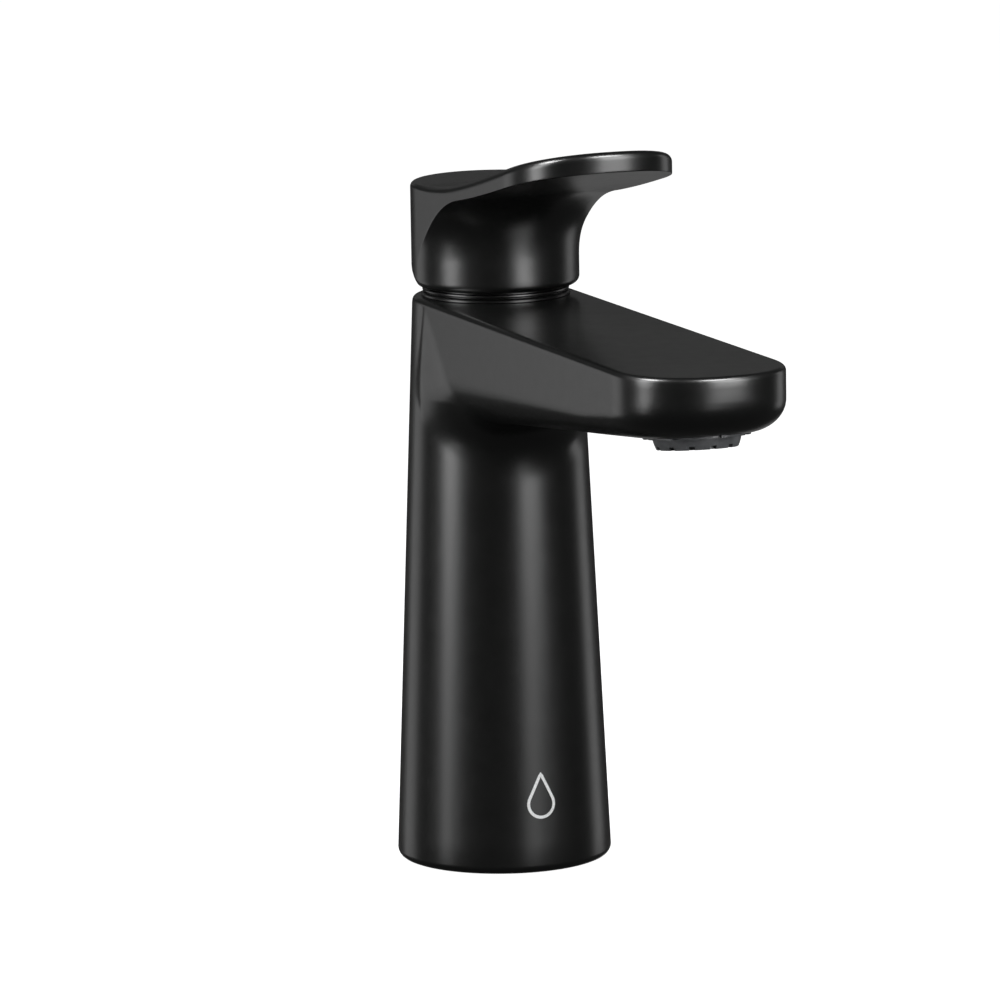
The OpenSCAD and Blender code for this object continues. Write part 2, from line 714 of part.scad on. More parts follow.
module set_screw() {
    color(steel) at_stem() translate([0, stem_w / 2 + 0.05, screw_up]) rotate([-90, 0, 0])
        difference() {
            cylinder(r = screw_r, h = screw_len - 0.6);
            translate([0, 0, screw_len - 2.6]) cylinder(r = 1.45, h = 3, $fn = 6);
        }
}

module indicator_plug() {
    color([0.75, 0.1, 0.1]) translate([0, 0, plug_z]) rotate([-90, 0, 0])
        translate([0, 0, lever_r - lever_wall + 0.2])
            cylinder(r = plug_r - 0.05, h = lever_wall - 0.5);
}

// ---- aerator ----

outlet_tilt = atan(under_slope);
outlet_z = under_z(outlet_reach);
ball_z = 1.5;            // middle of the ball above the underside
seat_ball_r = ball_r + run + 0.02;
thread_top = 7.5;
washer_t = 1.2;
rim_h = 1.2;
rim_r = aer_r + 0.4;

module at_outlet() {
    translate([0, -outlet_reach, outlet_z]) rotate([-outlet_tilt, 0, 0]) children();
}

module aerator_socket() {
    translate([0, 0, -6]) cylinder(r = rim_r + fit, h = 6 + rim_h);
    cylinder(r = aer_r + fit, h = thread_top + washer_t);
    cylinder(r = aer_r - 1.8, h = thread_top + washer_t + 1.8);
}

module aerator_housing() {
    color(grey) at_outlet() difference() {
        union() {
            translate([0, 0, -0.3]) cylinder(r = rim_r, h = rim_h + 0.3);
            cylinder(r = aer_r, h = thread_top);
        }
        translate([0, 0, ball_z]) sphere(r = seat_ball_r);
        translate([0, 0, 4]) cylinder(r = ball_r - 0.9, h = thread_top);
        for (a = [0 : 45 : 315])
            rotate([0, 0, a]) translate([ball_r + 0.9, -1, -1]) cube([3, 2, 1.6]);
    }
}

module aerator_washer() {
    color(rubber) at_outlet() translate([0, 0, thread_top])
        difference() {
            cylinder(r = aer_r, h = washer_t);
            translate([0, 0, -eps]) cylinder(r = aer_r - 2.4, h = washer_t + 1);
        }
}

nozzle_in = 7.2;
nozzle_top = thread_top - 2.2 - ball_r * sin(nozzle_tilt);   // its tilted edge stays under the washer
module aerator_nozzle() {
    color(grey) at_outlet() difference() {
        intersection() {
            translate([0, 0, ball_z]) sphere(r = ball_r);
            translate([0, 0, -nozzle_out]) cylinder(r = ball_r + 1, h = nozzle_out + nozzle_top);
        }
        translate([0, 0, -nozzle_out - 1]) cylinder(r = nozzle_in, h = nozzle_out + nozzle_top + 2);
        for (a = [0 : 30 : 330])
            rotate([0, 0, a]) translate([nozzle_in + 0.7, -0.7, -nozzle_out - 1]) cube([3, 1.4, 1.8]);
    }
}

grid_z = -nozzle_out + 0.4;
grid_t = 1.4;
module aerator_grid() {
    pitch = 2.4;
    color(grey) at_outlet() translate([0, 0, grid_z]) difference() {
        cylinder(r = nozzle_in - 0.02, h = grid_t);
        for (i = [-2 : 2], j = [-2 : 2])
            if (norm([i, j]) * pitch < nozzle_in - 1.3)
                translate([i * pitch - 0.8, j * pitch - 0.8, -eps]) cube([1.6, 1.6, grid_t + 2 * eps]);
    }
}

regulator_z = grid_z + grid_t + 0.4;
regulator_t = 1.6;
module flow_regulator() {
    color([0.2, 0.55, 0.3]) at_outlet() translate([0, 0, regulator_z]) difference() {
        cylinder(r = nozzle_in - 0.02, h = regulator_t);
        for (a = [0 : 45 : 315])
            rotate([0, 0, a]) translate([4.6, 0, -eps]) cylinder(r = 0.9, h = regulator_t + 2 * eps);
        translate([0, 0, -eps]) cylinder(r = 1.2, h = regulator_t + 2 * eps);
    }
}

module aerator_screen() {
    color(steel) at_outlet() translate([0, 0, regulator_z + regulator_t + 0.3]) difference() {
        cylinder(r = nozzle_in - 0.02, h = 0.5);
        for (i = [-4 : 4], j = [-4 : 4])
            if (norm([i, j]) * 1.4 < nozzle_in - 1)
                translate([i * 1.4 - 0.45, j * 1.4 - 0.45, -eps]) cube([0.9, 0.9, 1]);
    }
}

body_column();
body_spout();
waterway_core();
core_seals();
mounting_foot();
base_gasket();
trim_ring();
trim_ring_seal();
cartridge_nut();
cartridge_housing();
cartridge_base();
port_seals();
cartridge_seal();
fixed_disc();
moving_disc();
disc_carrier();
cartridge_rotor();
rotor_seal();
limit_ring();
cartridge_stem();
stem_pin();
lever_handle();
set_screw();
indicator_plug();
aerator_housing();
aerator_nozzle();
aerator_grid();
flow_regulator();
aerator_screen();
aerator_washer();
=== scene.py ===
"""Single-lever basin mixer in matt black: detailed skins, materials, studio and camera."""
import math

import bmesh
import bpy
import numpy as np
from mathutils import Matrix, Vector


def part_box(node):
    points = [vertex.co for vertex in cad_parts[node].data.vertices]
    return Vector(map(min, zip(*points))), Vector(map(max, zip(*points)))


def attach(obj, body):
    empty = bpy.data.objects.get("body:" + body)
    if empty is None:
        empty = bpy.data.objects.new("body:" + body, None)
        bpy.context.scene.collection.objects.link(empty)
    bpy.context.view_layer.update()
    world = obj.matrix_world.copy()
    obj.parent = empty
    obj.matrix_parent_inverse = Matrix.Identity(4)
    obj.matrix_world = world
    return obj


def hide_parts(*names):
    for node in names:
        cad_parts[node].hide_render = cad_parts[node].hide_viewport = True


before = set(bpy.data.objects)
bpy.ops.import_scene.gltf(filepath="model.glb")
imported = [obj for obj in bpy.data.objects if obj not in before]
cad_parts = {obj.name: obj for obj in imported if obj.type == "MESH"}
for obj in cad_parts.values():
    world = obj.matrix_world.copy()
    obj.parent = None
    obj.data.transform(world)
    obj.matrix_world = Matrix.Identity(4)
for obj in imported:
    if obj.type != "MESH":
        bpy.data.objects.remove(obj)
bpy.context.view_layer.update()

# ---------------------------------------------------------------- sizes, in metres
MM = 0.001
BODY_LOW, BODY_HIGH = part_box("body_spout")
LEVER_LOW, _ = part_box("lever_handle")

BODY_H = BODY_HIGH[2]
BASE_R = 25 * MM
TOP_R = 19.35 * MM
SPOUT_REACH = -BODY_LOW[1]
NOSE_LEN = 19.5 * MM
NOSE_POWER = 2.3
FOOT_EDGE = 2 * MM
TOP_EDGE = 1.2 * MM

SPOUT_DEPTH = 28.6 * MM
UNDER_SLOPE = 0.11
SIDE_DEPTH = 16.3 * MM
SIDE_SLOPE = 0.0465
NOSE_LIFT = 4 * MM
HULL_ROUND = 11 * MM
NOSE_ROUND = 8.4 * MM
FILLET = 14 * MM
FILLET_FADE = 22 * MM       # the fillet dies away over this height under the top
BACK_START = 4 * MM         # the spout's part of the skin ends behind this line, ahead of the axis
BACK_GROWTH = 0.8
SETTLE_STEP = 0.01 * MM
LONGEST_MOVE = 1.5 * MM

LEVER_R = 19.4 * MM
LEVER_Z = LEVER_LOW[2]
LEVER_TOP = LEVER_Z + 24.1 * MM
LEVER_REACH = -LEVER_LOW[1]
LEVER_RISE = 0.28
LEVER_BEND = 23 * MM
RIM_T = 3.7 * MM
RIM_GAIN = 0.022
# Rows of the lever crowd together at the crease under the rim, and are smoothed there.
CREASE_ROWS, CREASE_ROUNDS, CREASE_CROWDING = 7, 12, 1.6
LEVER_EDGE = 2 * MM
LEVER_FILLET = 14 * MM
LEVER_WALL = 2.5 * MM
LIFT = math.radians(20)
RELIEF_Z = LEVER_Z - 0.35 * MM

OUTLET_REACH = 121 * MM
PLUG_Z = sum(c[2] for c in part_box("indicator_plug")) / 2
SHARP_ANGLE = 32            # degrees


# ---------------------------------------------------------------- outline in plan
def clamp01(v):
    return min(1.0, max(0.0, v))


def signed_power(v, e):
    return math.copysign(abs(v) ** e, v)


def columns(straight, back_steps, side_steps, nose_steps):
    """Columns of a skin, anticlockwise from +X: the round back, a side, the nose and the other side."""
    back = [("back", math.pi * i / back_steps, 0) for i in range(back_steps + 1)]
    forward = [straight * (i / side_steps) ** 1.6 for i in range(1, side_steps + 1)]
    left = [("side", -1, s) for s in forward]
    nose = [("nose", math.pi * (1 + i / nose_steps), 0) for i in range(1, nose_steps)]
    right = [("side", 1, s) for s in reversed(forward)]
    return back + left + nose + right


def plan(column, r, straight, length, inset=0.0):
    kind, a, s = column
    if kind == "back":
        return Vector((r * math.cos(a), r * math.sin(a)))
    if kind == "side":
        return Vector((a * (r - inset), -s))
    x = (r - inset) * signed_power(math.cos(a), 2 / NOSE_POWER)
    y = -straight + (length - inset) * signed_power(math.sin(a), 2 / NOSE_POWER)
    return Vector((x, y))


def plan_distance(x, y, r, straight, length):
    """How far a point of the plan lies outside the outline that the spout and the lever share."""
    nose = (np.abs(x) / r) ** NOSE_POWER + (np.maximum(0, -straight - y) / length) ** NOSE_POWER
    ahead = np.where(y > -straight, np.abs(x) - r, r * (nose ** (1 / NOSE_POWER) - 1))
    return np.where(y > 0, np.hypot(x, y) - r, ahead)


def smooth_min(a, b, width):
    return np.minimum(a, b) - np.maximum(0, width - np.abs(a - b)) ** 2 / (4 * width)


def rounded_max(a, b, wide, high):
    """The larger of two distances, with an elliptic rounding where both are near zero."""
    u, v = np.maximum(0, a / wide + 1), np.maximum(0, b / high + 1)
    scale = (u * u * wide + v * v * high) / np.maximum(u * u + v * v, 1e-9)
    return np.where((u == 0) & (v == 0), np.maximum(a, b), (np.hypot(u, v) - 1) * scale)


def settle(rows, field, rounds=14):
    """Moves points onto the surface where field is zero, along its gradient."""
    p = np.array(rows, float)
    step = SETTLE_STEP
    for _ in range(rounds):
        value = field(p)
        slopes = [(field(p + step * axis) - field(p - step * axis)) / (2 * step) for axis in np.eye(3)]
        grad = np.stack(slopes, -1)
        move = value[..., None] * grad / np.maximum((grad * grad).sum(-1), 0.05)[..., None]
        size = np.linalg.norm(move, axis=-1, keepdims=True)
        p = p - move * np.minimum(1, LONGEST_MOVE / np.maximum(size, 1e-12))
    return p.tolist()


def along(points, count):
    """Points at even distances along a broken line."""
    line = np.array(points, float)
    lengths = np.r_[0, np.cumsum(np.linalg.norm(np.diff(line, axis=0), axis=1))]
    at = np.linspace(0, lengths[-1], count)
    return np.stack([np.interp(at, lengths, line[:, i]) for i in range(line.shape[1])], -1)


def ring_of(cols, straight, r, z):
    """A round row: one point in the direction of each column."""
    row = []
    for c in cols:
        d = plan(c, TOP_R, straight, NOSE_LEN).normalized()
        row.append((d.x * r, d.y * r, z))
    return row


def skin_mesh(name, rows, wrap=False, first=None, last=None):
    """A closed mesh over rows of points, wrapped onto itself or closed with a fan at each end."""
    bm = bmesh.new()
    grid = [[bm.verts.new(p) for p in row] for row in rows]
    count = len(grid[0])
    pairs = list(zip(grid, grid[1:]))
    if wrap:
        pairs.append((grid[-1], grid[0]))
    for low, high in pairs:
        for i in range(count):
            k = (i + 1) % count
            bm.faces.new((low[i], low[k], high[k], high[i]))
    if first is not None:
        hub = bm.verts.new(first)
        for i in range(count):
            bm.faces.new((hub, grid[0][(i + 1) % count], grid[0][i]))
    if last is not None:
        hub = bm.verts.new(last)
        for i in range(count):
            bm.faces.new((hub, grid[-1][i], grid[-1][(i + 1) % count]))
    bmesh.ops.recalc_face_normals(bm, faces=bm.faces)
    mesh = bpy.data.meshes.new(name)
    bm.to_mesh(mesh)
    bm.free()
    return finish_mesh(name, mesh)


def finish_mesh(name, mesh):
    mesh.shade_smooth()
    mesh.set_sharp_from_angle(angle=math.radians(SHARP_ANGLE))
    obj = bpy.data.objects.new(name, mesh)
    bpy.context.scene.collection.objects.link(obj)
    return obj


def lathe(name, profile, steps=160):
    """A ring turned about Z from a closed profile of (radius, height) pairs."""
    rows = []
    for r, z in profile:
        rows.append([(r * math.cos(2 * math.pi * i / steps), r * math.sin(2 * math.pi * i / steps), z)
                     for i in range(steps)])
    return skin_mesh(name, rows, wrap=True)


def cut(obj, cutter):
    """Cuts cutter out of obj for good, and removes the cutter."""
    mod = obj.modifiers.new("cut", "BOOLEAN")
    mod.operation = "DIFFERENCE"
    mod.solver = "EXACT"
    mod.object = cutter
    graph = bpy.context.evaluated_depsgraph_get()
    mesh = bpy.data.meshes.new_from_object(obj.evaluated_get(graph))
    obj.modifiers.clear()
    old = obj.data
    obj.data = mesh
    mesh.name = old.name
    bpy.data.meshes.remove(old)
    bpy.data.objects.remove(cutter)
    mesh.shade_smooth()
    mesh.set_sharp_from_angle(angle=math.radians(SHARP_ANGLE))


def arc(radius_from, radius_to, z_from, z_to, steps):
    """Points of a quarter ellipse between two (radius, height) corners, bulging outwards."""
    points = []
    for i in range(steps + 1):
        a = math.pi / 2 * i / steps
        u, v = math.sin(a), 1 - math.cos(a)
        points.append((radius_from + (radius_to - radius_from) * u, z_from + (z_to - z_from) * v))
    return points


# ---------------------------------------------------------------- body
NOSE_Y = SPOUT_REACH - NOSE_LEN
HULL_FOOT = BODY_H - SPOUT_DEPTH - FILLET - 2 * MM


def cone_r(z):
    return BASE_R + (TOP_R - BASE_R) * z / BODY_H


def under_z(s):
    return BODY_H - SPOUT_DEPTH + UNDER_SLOPE * s


def side_z(s):
    """Height where the flat side of the spout begins, above the rounding."""
    tip = NOSE_LIFT * np.clip(1 - (SPOUT_REACH - s) / (2 * NOSE_LEN), 0, 1)
    return BODY_H - SIDE_DEPTH + SIDE_SLOPE * s + tip


def body_field(p):
    """The cone and the spout, melted together: widest right under the spout and not at all near the top."""
    x, y, z = p[..., 0], p[..., 1], p[..., 2]
    s = np.maximum(0, -y)
    across = np.hypot(x, y)
    low = under_z(s)
    wide = HULL_ROUND + (NOSE_ROUND - HULL_ROUND) * np.clip(s / NOSE_Y, 0, 1)
    behind = BACK_GROWTH * np.maximum(0, y + BACK_START)
    outside = plan_distance(x, y, TOP_R, NOSE_Y, NOSE_LEN)
    spout = rounded_max(outside, low - z, wide, side_z(s) - low) + behind
    front = s / np.maximum(across, 1e-6)
    fade = np.clip((BODY_H - z) / FILLET_FADE, 0.02, 1)
    return smooth_min(across - cone_r(z), spout, FILLET * (0.4 + 0.6 * front ** 2) * fade)


def hull_path(column, count):
    """From the column, out along the underside and up the side to the top edge, before the rounding."""
    edge = plan(column, TOP_R, NOSE_Y, NOSE_LEN)
    d = edge.normalized()
    foot = HULL_FOOT
    corner = under_z(max(0.0, -d.y) * cone_r(under_z(0)))
    low = under_z(max(0.0, -edge.y))
    top = BODY_H - TOP_EDGE
    line = [(cone_r(foot), foot), (cone_r(corner), corner), (max(edge.length, cone_r(low)), low),
            (max(edge.length, cone_r(top)), top)]
    return [(d.x * r, d.y * r, z) for r, z in along(line, count)]


def aerator_frame():
    tilt = math.atan(UNDER_SLOPE)
    origin = Vector((0, -OUTLET_REACH, under_z(OUTLET_REACH)))
    return Matrix.Translation(origin) @ Matrix.Rotation(-tilt, 4, "X")


def make_body():
    cols = columns(NOSE_Y, 72, 60, 90)
    foot_hole, gasket_in, gasket_out, bore = 18.5 * MM, 19.6 * MM, 22 * MM, 14.6 * MM
    ledge_top, ledge_low, ledge_r, foot_top = 70 * MM, 64 * MM, 12.2 * MM, 11 * MM
    inside = [(ledge_r, ledge_top), (ledge_r, ledge_low), (17.5 * MM, ledge_low), (17.9 * MM, foot_top),
              (foot_hole, foot_top), (foot_hole, 0), (gasket_in, 0), (gasket_in, 1.6 * MM),
              (gasket_out, 1.6 * MM), (gasket_out, 0)]
    rows = [ring_of(cols, NOSE_Y, r, z) for r, z in inside]
    for r, z in arc(cone_r(FOOT_EDGE) - FOOT_EDGE, cone_r(FOOT_EDGE), 0, FOOT_EDGE, 6):
        rows.append(ring_of(cols, NOSE_Y, r, z))
    for i in range(1, 12):
        z = HULL_FOOT * i / 12
        rows.append(ring_of(cols, NOSE_Y, cone_r(z), z))
    paths = [hull_path(c, 110) for c in cols]
    rows += settle([list(row) for row in zip(*paths)][:-1], body_field)
    for i in range(7):
        a = math.pi / 2 * i / 6
        inset = TOP_EDGE * (1 - math.cos(a))
        row = []
        for c in cols:
            p = plan(c, TOP_R - (inset if c[0] == "back" else 0), NOSE_Y, NOSE_LEN, inset)
            row.append((p.x, p.y, BODY_H - TOP_EDGE * (1 - math.sin(a))))
        rows.append(row)
    edge_in = 1.6 * MM
    row = []
    for c in cols:
        p = plan(c, TOP_R - (edge_in if c[0] == "back" else 0), NOSE_Y, NOSE_LEN, edge_in)
        row.append((p.x, p.y, BODY_H))
    rows.append(row)
    rows += [ring_of(cols, NOSE_Y, 17.4 * MM, BODY_H), ring_of(cols, NOSE_Y, bore, BODY_H),
             ring_of(cols, NOSE_Y, bore, ledge_top)]
    body = skin_mesh("body_casting", rows, wrap=True)
    socket = lathe_solid("socket", [(11.9, -8), (11.9, 1.2), (11.5, 1.2), (11.5, 8.7), (0, 8.7)])
    socket.data.transform(aerator_frame())
    cut(body, socket)
    return body


def lathe_solid(name, profile_mm, steps=128):
    """A solid turned about Z from an open profile in millimetres that ends on the axis."""
    rows = []
    for r, z in profile_mm[:-1]:
        rows.append([(r * MM * math.cos(2 * math.pi * i / steps), r * MM * math.sin(2 * math.pi * i / steps),
                      z * MM) for i in range(steps)])
    low = (0, 0, profile_mm[0][1] * MM)
    high = (0, 0, profile_mm[-1][1] * MM)
    return skin_mesh(name, rows, first=low, last=high)


# ---------------------------------------------------------------- lever
LEVER_NOSE_Y = LEVER_REACH - NOSE_LEN


def lever_top_z(y):
    s = np.maximum(0.0, 1 * MM - y)
    return LEVER_TOP + LEVER_RISE * (s - LEVER_BEND * (1 - np.exp(-s / LEVER_BEND)))


def lever_low_z(y):
    return lever_top_z(y) - RIM_T - RIM_GAIN * np.maximum(0.0, -y - LEVER_R)


def lever_foot_z(y):
    """The flat foot, and the relief behind it, blended where they meet."""
    slope = RELIEF_Z + y * math.tan(LIFT) - LEVER_Z
    soft = 0.8 * MM
    bent = LEVER_Z + 0.5 * (slope + math.sqrt(slope * slope + soft * soft))
    return bent - 0.5 * soft * math.exp(-abs(slope) / soft)


def foot_round(direction):
    """Rounding under the lever's base: larger at the back."""
    return (1.8 + 1.6 * clamp01(direction.y + 0.3)) * MM


def foot_point(direction, t):
    """A point of the rounding under the base, from the wall of the hollow at 0 to the outer wall at 1."""
    b = foot_round(direction)
    start = math.asin(max(0.0, 1 - LEVER_WALL / b))
    a = start + (math.pi / 2 - start) * t
    r = LEVER_R - b * (1 - math.sin(a))
    return direction.x * r, direction.y * r, lever_foot_z(direction.y * LEVER_R) + b * (1 - math.cos(a))


def paddle_column(column, under_rows, rim_rows):
    """From the base, out along the fillet and the underside to the rim, and up to the top's rounding."""
    edge = plan(column, LEVER_R, LEVER_NOSE_Y, NOSE_LEN)
    d = edge.normalized()
    over = max(0.0, edge.length - LEVER_R)
    foot = lever_foot_z(d.y * LEVER_R) + foot_round(d)
    low = lever_low_z(d.y * LEVER_R)
    tall = min(LEVER_FILLET, low - foot - 1 * MM)
    wall = low - tall - foot
    bend = min(1.0, math.sqrt(over / LEVER_FILLET))
    total = wall + LEVER_FILLET * bend + over - LEVER_FILLET * bend ** 2
    line = []
    for i in range(1, under_rows + 1):
        at = total * (1 - (1 - i / under_rows) ** CREASE_CROWDING)
        u = min(bend, max(0.0, at - wall) / LEVER_FILLET)
        p = d * (LEVER_R + LEVER_FILLET * u * u + max(0.0, at - wall - LEVER_FILLET * bend))
        line.append((p.x, p.y, foot + at if at < wall else lever_low_z(p.y) - tall * (1 - u) ** 2))
    low_z = line[-1][2]
    rim = lever_top_z(edge.y) - top_round(edge.y) - low_z
    line += [(edge.x, edge.y, low_z + rim * (j / rim_rows) ** CREASE_CROWDING) for j in range(1, rim_rows)]
    line = np.array(line)
    first, end = under_rows - CREASE_ROWS, under_rows + CREASE_ROWS
    for _ in range(CREASE_ROUNDS):
        line[first:end] = (line[first - 1:end - 1] + 2 * line[first:end] + line[first + 1:end + 1]) / 4
    return line.tolist()


def top_round(y):
    """Rounding of the lever's top edge: less around the back of the base."""
    return LEVER_EDGE * (1 - 0.4 * clamp01(1 + y / LEVER_R))


def make_lever():
    cols = columns(LEVER_NOSE_Y, 72, 44, 80)
    dirs = [plan(c, LEVER_R, LEVER_NOSE_Y, NOSE_LEN).normalized() for c in cols]
    cavity, roof = LEVER_R - LEVER_WALL, LEVER_TOP - 6.5 * MM
    rows = [[(d.x * cavity * k, d.y * cavity * k, roof) for d in dirs] for k in (0.5, 1.0)]
    foot_rows = [[foot_point(d, i / 8) for d in dirs] for i in range(9)]
    rows.append([(d.x * cavity, d.y * cavity, p[2] + 0.2 * MM) for d, p in zip(dirs, foot_rows[0])])
    rows += foot_rows
    rows += [list(row) for row in zip(*(paddle_column(c, 84, 20) for c in cols))]
    for i in range(11):
        a = math.pi / 2 * i / 10
        row = []
        for c in cols:
            b = top_round(plan(c, LEVER_R, LEVER_NOSE_Y, NOSE_LEN).y)
            inset = b * (1 - math.cos(a))
            p = plan(c, LEVER_R - (inset if c[0] == "back" else 0), LEVER_NOSE_Y, NOSE_LEN, inset)
            row.append((p.x, p.y, lever_top_z(p.y) - b * (1 - math.sin(a))))
        rows.append(row)
    for i in range(1, 15):
        k = 0.985 * (1 - i / 15)
        row = []
        for c in cols:
            p = plan(c, LEVER_R - (LEVER_EDGE if c[0] == "back" else 0), LEVER_NOSE_Y, NOSE_LEN, LEVER_EDGE) * k
            row.append((p.x, p.y, lever_top_z(p.y)))
        rows.append(row)
    lever = skin_mesh("lever_casting", rows, first=(0, 0, roof), last=(0, 0, lever_top_z(0)))
    hole = lathe_solid("plug_hole", [(3.2, 9), (3.2, 30), (0, 30)])
    hole.data.transform(Matrix.Translation((0, 0, PLUG_Z)) @ Matrix.Rotation(-math.pi / 2, 4, "X"))
    cut(lever, hole)
    return lever


# ---------------------------------------------------------------- trim ring
def make_ring():
    z = BODY_H
    outer, groove, bead = 17.2, 16.35, 16.75
    profile = [(13.6, 0), (outer - 0.2, 0), (outer, 0.2), (outer, 0.62), (outer - 0.2, 0.82), (groove + 0.1, 0.9),
               (groove, 1.02), (groove, 1.1)]
    for i in range(9):
        a = -math.pi / 2 + math.pi * i / 8
        profile.append((bead - 0.1 + 0.35 * math.cos(a), 1.58 + 0.42 * math.sin(a)))
    profile += [(16.1, 2.0), (16.1, 4.3), (15.9, 4.6), (15.3, 4.6), (15.1, 4.4), (15.1, 1.1), (13.6, 1.1)]
    return lathe("trim_ring_turned", [(r * MM, z + h * MM) for r, h in profile])


# ---------------------------------------------------------------- drop mark
def make_mark():
    """A water-drop outline printed on the front of the column."""
    low_z, drop_r, height, line = 13.2 * MM, 3.1 * MM, 10.2 * MM, 0.35 * MM
    tangent = math.acos(drop_r / (height - drop_r))
    outline = [Vector((0, height - drop_r))]
    steps = 72
    start, sweep = math.pi / 2 - tangent, 2 * math.pi - 2 * tangent
    for i in range(steps + 1):
        a = start - sweep * i / steps
        outline.append(Vector((math.cos(a), math.sin(a))) * drop_r)
    dense = []
    for i, p in enumerate(outline):
        q = outline[(i + 1) % len(outline)]
        parts = 10 if (q - p).length > 1 * MM else 1
        dense += [p.lerp(q, j / parts) for j in range(parts)]
    bm = bmesh.new()
    count = len(dense)
    pairs = []
    for i, p in enumerate(dense):
        heading = (dense[(i + 1) % count] - dense[i - 1]).normalized()
        side = Vector((-heading.y, heading.x))
        pair = []
        for offset in (-line, line):
            q = p + side * offset
            z = low_z + drop_r + q.y
            r = cone_r(z) + 0.03 * MM
            a = q.x / r
            pair.append(bm.verts.new((r * math.sin(a), -r * math.cos(a), z)))
        pairs.append(pair)
    for i in range(count):
        a, b = pairs[i], pairs[(i + 1) % count]
        bm.faces.new((a[0], b[0], b[1], a[1]))
    bmesh.ops.recalc_face_normals(bm, faces=bm.faces)
    bm.normal_update()
    if sum(f.normal.y for f in bm.faces) > 0:
        bmesh.ops.reverse_faces(bm, faces=bm.faces)
    mesh = bpy.data.meshes.new("drop_mark")
    bm.to_mesh(mesh)
    bm.free()
    return finish_mesh("drop_mark", mesh)


# ---------------------------------------------------------------- materials
class Material:
    """A principled material with short-hand for its procedural nodes."""

    def __init__(self, name, **values):
        self.mat = bpy.data.materials.new(name)
        self.mat.use_nodes = True
        self.tree = self.mat.node_tree
        self.bsdf = self.tree.nodes["Principled BSDF"]
        for key, value in values.items():
            self.bsdf.inputs[key.replace("_", " ")].default_value = value
        self.place = self.node("ShaderNodeTexCoord").outputs["Object"]

    def node(self, kind, **settings):
        made = self.tree.nodes.new(kind)
        for key, value in settings.items():
            setattr(made, key, value)
        return made

    def link(self, a, b):
        self.tree.links.new(a, b)

    def noise(self, scale, detail=3.0, roughness=0.55, stretch=None):
        made = self.node("ShaderNodeTexNoise")
        made.inputs["Scale"].default_value = scale
        made.inputs["Detail"].default_value = detail
        made.inputs["Roughness"].default_value = roughness
        if stretch is None:
            self.link(self.place, made.inputs["Vector"])
        else:
            mapping = self.node("ShaderNodeMapping")
            mapping.inputs["Scale"].default_value = stretch
            self.link(self.place, mapping.inputs["Vector"])
            self.link(mapping.outputs["Vector"], made.inputs["Vector"])
        return made.outputs["Fac"]

    def ramp(self, value, low, high, socket, at=(0.3, 0.7)):
        """Maps value to the range low to high and feeds it to a socket of the shader."""
        made = self.node("ShaderNodeMapRange")
        made.inputs["From Min"].default_value = at[0]
        made.inputs["From Max"].default_value = at[1]
        made.inputs["To Min"].default_value = low
        made.inputs["To Max"].default_value = high
        self.link(value, made.inputs["Value"])
        self.link(made.outputs["Result"], self.bsdf.inputs[socket])

    def tint(self, value, low, high, at=(0.3, 0.7)):
        made = self.node("ShaderNodeValToRGB")
        made.color_ramp.elements[0].position = at[0]
        made.color_ramp.elements[0].color = (*low, 1)
        made.color_ramp.elements[1].position = at[1]
        made.color_ramp.elements[1].color = (*high, 1)
        self.link(value, made.inputs["Fac"])
        self.link(made.outputs["Color"], self.bsdf.inputs["Base Color"])

    def bump(self, *layers):
        """Stacked bumps: each layer is (value, height in metres, strength)."""
        normal = None
        for value, distance, strength in layers:
            made = self.node("ShaderNodeBump")
            made.inputs["Distance"].default_value = distance
            made.inputs["Strength"].default_value = strength
            self.link(value, made.inputs["Height"])
            if normal is not None:
                self.link(normal, made.inputs["Normal"])
            normal = made.outputs["Normal"]
        self.link(normal, self.bsdf.inputs["Normal"])


def coating():
    """Satin black coating: fine orange peel over a faint larger mottle."""
    m = Material("satin_black_coating", Metallic=0.0, Specular_IOR_Level=1.0)
    m.tint(m.noise(900, 4), (0.0013, 0.0015, 0.0014), (0.0021, 0.0023, 0.0022))
    m.ramp(m.noise(260, 5, 0.6), 0.28, 0.31, "Roughness")
    m.bump((m.noise(1500, 2), 0.00002, 0.04), (m.noise(5200, 2), 0.00001, 0.12))
    return m.mat


def brass():
    m = Material("machined_brass", Metallic=1.0)
    m.tint(m.noise(240, 4), (0.60, 0.42, 0.17), (0.80, 0.60, 0.28))
    m.ramp(m.noise(90, 4), 0.22, 0.42, "Roughness")
    m.bump((m.noise(60, 3, 0.6, (1, 1, 60)), 0.00003, 0.25), (m.noise(3000, 2), 0.00001, 0.2))
    return m.mat


def rubber():
    m = Material("black_rubber")
    m.tint(m.noise(700, 4), (0.012, 0.012, 0.012), (0.028, 0.027, 0.026))
    m.ramp(m.noise(400, 4), 0.62, 0.82, "Roughness")
    m.bump((m.noise(2600, 3), 0.00003, 0.35),)
    return m.mat


def moulded(name, low, high, rough=(0.34, 0.5)):
    """Moulded plastic with a fine spark-eroded grain."""
    m = Material(name)
    m.tint(m.noise(500, 4), low, high)
    m.ramp(m.noise(300, 4), rough[0], rough[1], "Roughness")
    m.bump((m.noise(3800, 2), 0.00002, 0.25), (m.noise(900, 3), 0.00002, 0.12))
    return m.mat


def ceramic():
    m = Material("polished_ceramic")
    m.tint(m.noise(300, 3), (0.74, 0.71, 0.63), (0.84, 0.81, 0.74))
    m.ramp(m.noise(500, 3), 0.08, 0.16, "Roughness")
    m.bump((m.noise(2400, 2), 0.00001, 0.08),)
    return m.mat


def steel():
    m = Material("machined_steel", Metallic=1.0)
    m.tint(m.noise(300, 4), (0.42, 0.43, 0.44), (0.60, 0.61, 0.62))
    m.ramp(m.noise(120, 4), 0.22, 0.38, "Roughness")
    m.bump((m.noise(80, 3, 0.6, (1, 1, 40)), 0.00002, 0.3),)
    return m.mat


